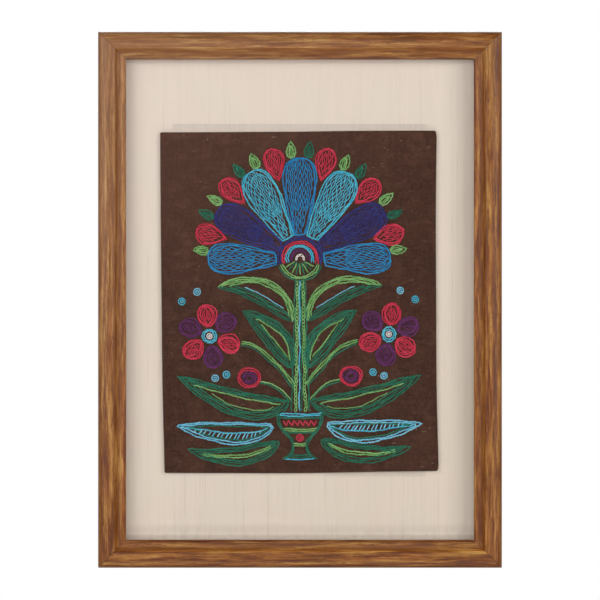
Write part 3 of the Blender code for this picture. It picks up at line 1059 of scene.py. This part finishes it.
def pot():
    """A small footed pot at the foot of the stems: level rows between the curved sides of bowl and foot."""
    bowl = bezier((17.5, -86), (18, -99), (8, -102), (6, -109))
    foot = bezier((6, -110), (5.5, -115), (8, -118), (13, -120.5))
    bands = (
        ("turquoise", (-86.0, -87.5)),
        ("dark_green", (-89.0,)),
        ("light_green", (-97.4, -98.9)),
        ("dark_green", (-100.4,)),
        ("light_green", (-108.6, -110.2)),
        ("dark_green", (-117.2, -118.7)),
        ("turquoise", (-120.3,)),
    )
    profile = np.concatenate([bowl, foot])[::-1]
    for colour, up in [(colour, up) for colour, heights in bands for up in heights]:
        half_width = np.interp(up, profile[:, 1], profile[:, 0]) - 1.6
        add_row(colour, "stem", bezier((-half_width, up), (0, up - 1.2), (half_width, up)))
    for side in (-1, 1):
        for part in (bowl, foot):
            add_row("dark_green", "stem", part * (side, 1))
            add_row("dark_green", "stem", (part - (1.5, 0)) * (side, 1))
    zigzag = np.stack([np.linspace(-12.6, 12.6, 13), -93.4 + 2.1 * (-1.0) ** np.arange(13)], -1)
    for start, end in zip(zigzag, zigzag[1:]):
        add_row("crimson", "bar", np.stack([start, end]))
    rings((0.0, -104.6), (2.5, 1.2), "crimson", "small")


# Stitches from rows


def even_places(points, pitch):
    """Places along a polyline, about a pitch apart, that divide it evenly."""
    lengths = run_along(points)
    count = max(1, int(round(lengths[-1] / pitch)))
    return at_distances(np.linspace(0, lengths[-1], count + 1), lengths, points)


def thread_tubes(centres, radius, sides, closed):
    """Round tubes along many centre lines at once.

    centres is (stitch, step, 3). Each cross-section is a circle in the plane of the sideways direction (the
    tangent crossed with the height axis) and the one square to both. An open tube has no end caps.
    """
    count, steps = centres.shape[:2]
    if closed:
        tangent = np.roll(centres, -1, 1) - np.roll(centres, 1, 1)
    else:
        tangent = np.gradient(centres, axis=1)
    tangent /= np.linalg.norm(tangent, axis=-1, keepdims=True)
    sideways = np.cross(tangent, (0.0, 0.0, 1.0))
    sideways /= np.linalg.norm(sideways, axis=-1, keepdims=True)
    upward = np.cross(sideways, tangent)
    turn = np.arange(sides) * math.tau / sides
    cosine, sine = np.cos(turn)[None, None], np.sin(turn)[None, None]
    circle = cosine[..., None] * sideways[:, :, None] + sine[..., None] * upward[:, :, None]
    points = centres[:, :, None] + np.broadcast_to(radius, (count, steps))[:, :, None, None] * circle
    runs = np.linalg.norm(np.diff(centres, axis=1, prepend=centres[:, :1]), axis=-1)
    yarn = np.stack(np.broadcast_arrays(np.cumsum(runs, 1)[:, :, None], cosine, sine), -1)
    quads = grid_faces(steps, sides, wrap_rows=closed, wrap_columns=True)
    faces = quads[None] + (np.arange(count) * steps * sides)[:, None, None]
    return points, yarn, faces.reshape(-1, 4)


def stitch_ways(start, end):
    """The length of each stitch, its way along the cloth and the way to its left."""
    run = end - start
    length = np.hypot(*run.T)
    way = run / length[:, None]
    return length, way, np.stack([-way[:, 1], way[:, 0]], -1)


def centre_lines(start, way, side, along, across, high):
    """Centre lines from places along and across each stitch, and their heights."""
    plan = start[:, None] + way[:, None] * along[..., None] + side[:, None] * across[..., None]
    return np.concatenate([plan, high[..., None]], -1)


def chain_loops(start, end, draw, stitch):
    """Teardrop loops of a chain stitch between start and end places, (stitch, 2) in millimetres.

    Along: (1 - cos t) / 2 of the length, past both ends by a lap. Across: W/2 sin t ((1 - cos t)/2)^0.3,
    widest past the middle, with a small skew. Height: the thread rises from the cloth at the loop's foot and
    lies over the foot of the next loop at its head.
    """
    count, steps, sides = len(start), 10, 5
    length, way, side = stitch_ways(start, end)
    t = (np.arange(steps) + 0.5) / steps * math.tau
    share = (1 - np.cos(t)) / 2
    radius = stitch["radius"] * draw.uniform(0.9, 1.12, count)
    width = (stitch["width"] * draw.uniform(0.86, 1.14, count) - 2 * radius)[:, None]
    along = share[None] * (length + 2 * CHAIN_LAP)[:, None] - CHAIN_LAP
    skew = draw.normal(0, 0.09, count)[:, None]
    across = width / 2 * (np.sin(t) * share**0.3)[None] * 1.15 + skew * along
    high = radius[:, None] * (0.55 + 0.75 * share[None] ** 0.8) + draw.uniform(0, 0.08, count)[:, None]
    centres = centre_lines(start, way, side, along, across, high)
    return thread_tubes(centres, radius[:, None], sides, True)


def slanted_strands(start, end, draw, stitch):
    """Strands of a stem stitch or a bar: each runs past its neighbours on a slant, arched over the cloth.

    Along: from -overlap to L + overlap. Across: from -W/2 to W/2 in a straight line. Height: a sine arch.
    """
    count, steps, sides, overlap = len(start), 7, 6, stitch["overlap"]
    length, way, side = stitch_ways(start, end)
    s = np.linspace(0, 1, steps)
    radius = stitch["radius"] * draw.uniform(0.88, 1.12, count)
    along = s[None] * (length + 2 * overlap)[:, None] - overlap
    slant = stitch["width"] * draw.uniform(0.8, 1.2, count)[:, None]
    across = slant * (s - 0.5)[None] + draw.normal(0, 0.06, count)[:, None]
    arch = np.sin(np.pi * (0.06 + 0.88 * s)) ** 0.6
    high = radius[:, None] * (0.1 + 0.95 * arch[None]) + draw.uniform(0, 0.08, count)[:, None]
    centres = centre_lines(start, way, side, along, across, high)
    thick = radius[:, None] * np.array([0.12, 0.7, 1.0, 1.0, 1.0, 0.7, 0.12])[None]
    return thread_tubes(centres, thick, sides, False)


def hand_wobble(points, draw):
    """A row's small unevenness: both coordinates drift by slow sines of its own, less on a short row.

    On a closed row the drift's own rise from start to end is taken off it evenly, so that its ends meet.
    """
    lengths = run_along(points)
    drift = np.zeros_like(points)
    for wavelength, amount in ((26.0, 0.34), (10.0, 0.16)):
        phase = draw.uniform(0, math.tau, 2)
        drift += amount * np.sin(lengths[:, None] / wavelength * math.tau + phase)
    if np.allclose(points[0], points[-1]):
        drift -= drift[0] + (drift[-1] - drift[0]) * (lengths / lengths[-1])[:, None]
    return points + drift * min(1.0, lengths[-1] / 40.0)


def stitches():
    """One joined piece for each thread colour, from every row of that colour."""
    draw = np.random.default_rng(20)
    made = []
    for colour, shades in THREADS.items():
        points, yarns, faces, tones, base = [], [], [], [], 0
        for _, kind, row in [r for r in rows if r[0] == colour]:
            stitch = KINDS[kind]
            if kind == "net":
                marks = row + draw.normal(0, 0.1, row.shape)
            elif kind == "bar":
                marks = row
            else:
                marks = even_places(hand_wobble(row, draw), stitch["length"] * draw.uniform(0.93, 1.07))
            work = chain_loops if kind in ("chain", "broad") else slanted_strands
            tube = work(marks[:-1], marks[1:], draw, stitch)
            shape = tube[0].shape[:3] + (1,)
            tone = np.broadcast_to(draw.uniform(0, 1, (shape[0], 1, 1, 1)), shape)
            shade = np.broadcast_to(draw.uniform(0, 1), shape)
            points.append(tube[0].reshape(-1, 3))
            yarns.append(tube[1].reshape(-1, 3))
            tones.append(np.concatenate([tone, shade, 0 * tone], -1).reshape(-1, 3))
            faces.append(tube[2] + base)
            base += points[-1].shape[0]
        across, up, high = np.concatenate(points).T * MM
        place = np.stack([across, -(CLOTH_FRONT - 0.00012 + high), up + CENTRE_UP], -1)
        values = {"yarn": np.concatenate(yarns), "tone": np.concatenate(tones)}
        piece = piece_from("stitches_" + colour, place, np.concatenate(faces)[:, ::-1], values)
        piece.data.materials.append(thread_finish(colour, *shades))
        made.append(piece)
    return made


THREADS = {  # deep, middle and bright shade of each thread
    "turquoise": (dye(20, 128, 165), dye(62, 182, 210), dye(120, 208, 228)),
    "blue": (dye(4, 84, 138), dye(20, 130, 190), dye(56, 164, 212)),
    "sky": (dye(60, 150, 190), dye(112, 196, 226), dye(168, 222, 240)),
    "navy": (dye(26, 24, 80), dye(39, 40, 111), dye(60, 64, 149)),
    "crimson": (dye(150, 16, 42), dye(206, 36, 68), dye(228, 70, 96)),
    "purple": (dye(56, 14, 54), dye(90, 27, 84), dye(120, 52, 118)),
    "dark_green": (dye(2, 64, 46), dye(14, 102, 76), dye(42, 134, 106)),
    "light_green": (dye(66, 124, 58), dye(116, 173, 96), dye(160, 202, 134)),
    "white": (dye(196, 176, 172), dye(232, 214, 212), dye(244, 234, 232)),
}


def thread_finish(colour, deep, middle, bright):
    """Stranded thread: plies wound round it, dyed a little unevenly from stitch to stitch, painted shade down
    its sides, a soft sheen.
    """
    name = colour.replace("_", " ") + " thread"
    made, tree, shader = finish(name, Sheen_Weight=0.08, Sheen_Roughness=0.5, Specular_IOR_Level=0.2)
    yarn, tone = (parts_of(tree, own_place(tree, label)) for label in ("yarn", "tone"))
    turn = sums(tree, "ARCTAN2", yarn["Z"], yarn["Y"])
    wound = sums(tree, "SINE", added(tree, yarn["X"], 4.2, times(tree, turn, 3.0)))
    plies = added(tree, wound, 0.5, 0.5)
    fuzz = noise(tree, object_place(tree), 2600.0)
    # painted shade: each thread darker down its sides and underneath, lighter on top
    lift = sums(tree, "SUBTRACT", yarn["Z"], 0.8)
    mixed = added(tree, tone["X"], 0.34, times(tree, plies, 0.26))
    for value, share in ((tone["Y"], 0.2), (fuzz, 0.4), (lift, 0.3)):
        mixed = added(tree, value, share, mixed)
    shade = ramp(tree, mixed, (0.1, deep), (0.5, middle), (0.95, bright))
    height = added(tree, fuzz, 0.5, plies)
    drive(tree, shader, shade, spread(tree, fuzz, 0.3, 0.7, 0.55, 0.75), height, 0.00012, 0.5)
    return made


# Making the object


def dress():
    """Replaces or finishes every node of the model."""
    wood = wood_finish()
    rails = (
        ("rail_top", FRAME_WIDTH, 0.0, FRAME_HEIGHT / 2),
        ("rail_right", FRAME_HEIGHT, math.pi / 2, FRAME_WIDTH / 2),
        ("rail_bottom", FRAME_WIDTH, math.pi, FRAME_HEIGHT / 2),
        ("rail_left", FRAME_HEIGHT, -math.pi / 2, FRAME_WIDTH / 2),
    )
    for name, length, turn, half_span in rails:
        rail(name, length, turn, half_span).data.materials.append(wood)
    silk_ground().data.materials.append(silk_finish())
    for draw in (fan_bloom, main_stem, upper_leaves, side_blooms, lower_leaves, pot):
        draw()
    brown_cloth(stitches()).data.materials.append(brown_cloth_finish())
    for node, made in (("glass", glass_finish()), ("mount_board", board_finish())):
        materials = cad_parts[node].data.materials
        materials.clear()
        materials.append(made)


# Stage, light and camera

LENS = 250.0
SENSOR = 36.0
PIXEL = 0.00075545  # metres to a pixel at the frame's outer edge
PIXELS = 600
CAMERA_DROP = 0.3 * PIXEL  # below the picture's centre
FLOOR_REACH, FLOOR_LINES, FLOOR_DROP = 4.0, 41, 2.1


def soft_light(name, place, aim, size, power):
    """A rectangular soft light at a place, turned to face a point."""
    data = bpy.data.lights.new(name, "AREA")
    data.shape = "RECTANGLE"
    data.size, data.size_y = size
    data.energy = power
    light = new_object(name, data)
    light.location = place
    way = Vector(aim) - Vector(place)
    light.rotation_euler = way.to_track_quat("-Z", "Z").to_euler()


def stage():
    """A pale floor well below the hung picture, a white surround, and soft lights round the picture."""
    steps = np.linspace(-FLOOR_REACH, FLOOR_REACH, FLOOR_LINES)
    grid_y, grid_x = np.meshgrid(steps, steps, indexing="ij")
    level = np.full_like(grid_x, CENTRE_UP - FLOOR_DROP)
    points = np.stack([grid_x, grid_y, level], -1).reshape(-1, 3)
    mesh = bpy.data.meshes.new("floor")
    mesh.from_pydata(points.tolist(), [], grid_faces(FLOOR_LINES, FLOOR_LINES).tolist())
    floor = new_object("floor", mesh)
    pale, tree, shader = finish("pale floor", Roughness=0.8)
    mottle = noise(tree, object_place(tree), 6.0, 3.0)
    tone = blend(tree, mottle, dye(236, 236, 235), dye(242, 242, 241))
    tree.links.new(tone, shader.inputs["Base Color"])
    glow = put(tree, "ShaderNodeEmission", {"Color": tone})
    seen = put(tree, "ShaderNodeLightPath").outputs["Is Camera Ray"]
    show_both(tree, times(tree, seen, 0.9), shader, glow)
    mesh.materials.append(pale)

    world = bpy.data.worlds.new("white surround")
    bpy.context.scene.world = world
    world.use_nodes = True
    tree = world.node_tree
    surround = tree.nodes["Background"]
    surround.inputs["Color"].default_value = WHITE
    path = put(tree, "ShaderNodeLightPath").outputs
    seen = added(tree, path["Is Camera Ray"], 0.88, 0.12)
    seen = added(tree, path["Is Glossy Ray"], -0.04, seen)
    tree.links.new(seen, surround.inputs["Strength"])

    centre = (0.0, -0.01, CENTRE_UP)
    turn = math.radians(42)
    aside, ahead = 1.5 * math.sin(turn), -1.5 * math.cos(turn)
    for name, x, y, up, size, power in (
        ("left light", -aside, ahead, 0.3, (1.0, 1.1), 10.5),
        ("right light", aside, ahead, 0.3, (1.0, 1.1), 11.2),
        ("low light", 0.0, -1.2, -1.6, (1.8, 0.6), 9.5),
        ("upper front light", 0.0, -2.6, 0.75, (1.4, 0.5), 8.1),
        ("lower front light", 0.0, -2.6, -0.75, (1.4, 0.5), 8.1),
        ("back light", 0.3, 1.6, 1.2, (1.4, 1.4), 30.0),
    ):
        soft_light(name, (x, y, CENTRE_UP + up), centre, size, power)


def camera():
    """A long lens straight in front: PIXELS across the picture, PIXEL metres each at the outer edge."""
    data = bpy.data.cameras.new("camera")
    data.lens, data.sensor_width = LENS, SENSOR
    data.clip_end = 50.0
    eye = new_object("camera", data)
    away = PIXELS * PIXEL * LENS / SENSOR
    eye.location = (0.0, -OUTER_SIDE_HEIGHT - away, CENTRE_UP - CAMERA_DROP)
    eye.rotation_euler = (math.radians(90), 0.0, 0.0)
    bpy.context.scene.camera = eye


bpy.context.scene.view_settings.view_transform = "Standard"
dress()
stage()
camera()

bpy.context.view_layer.update()
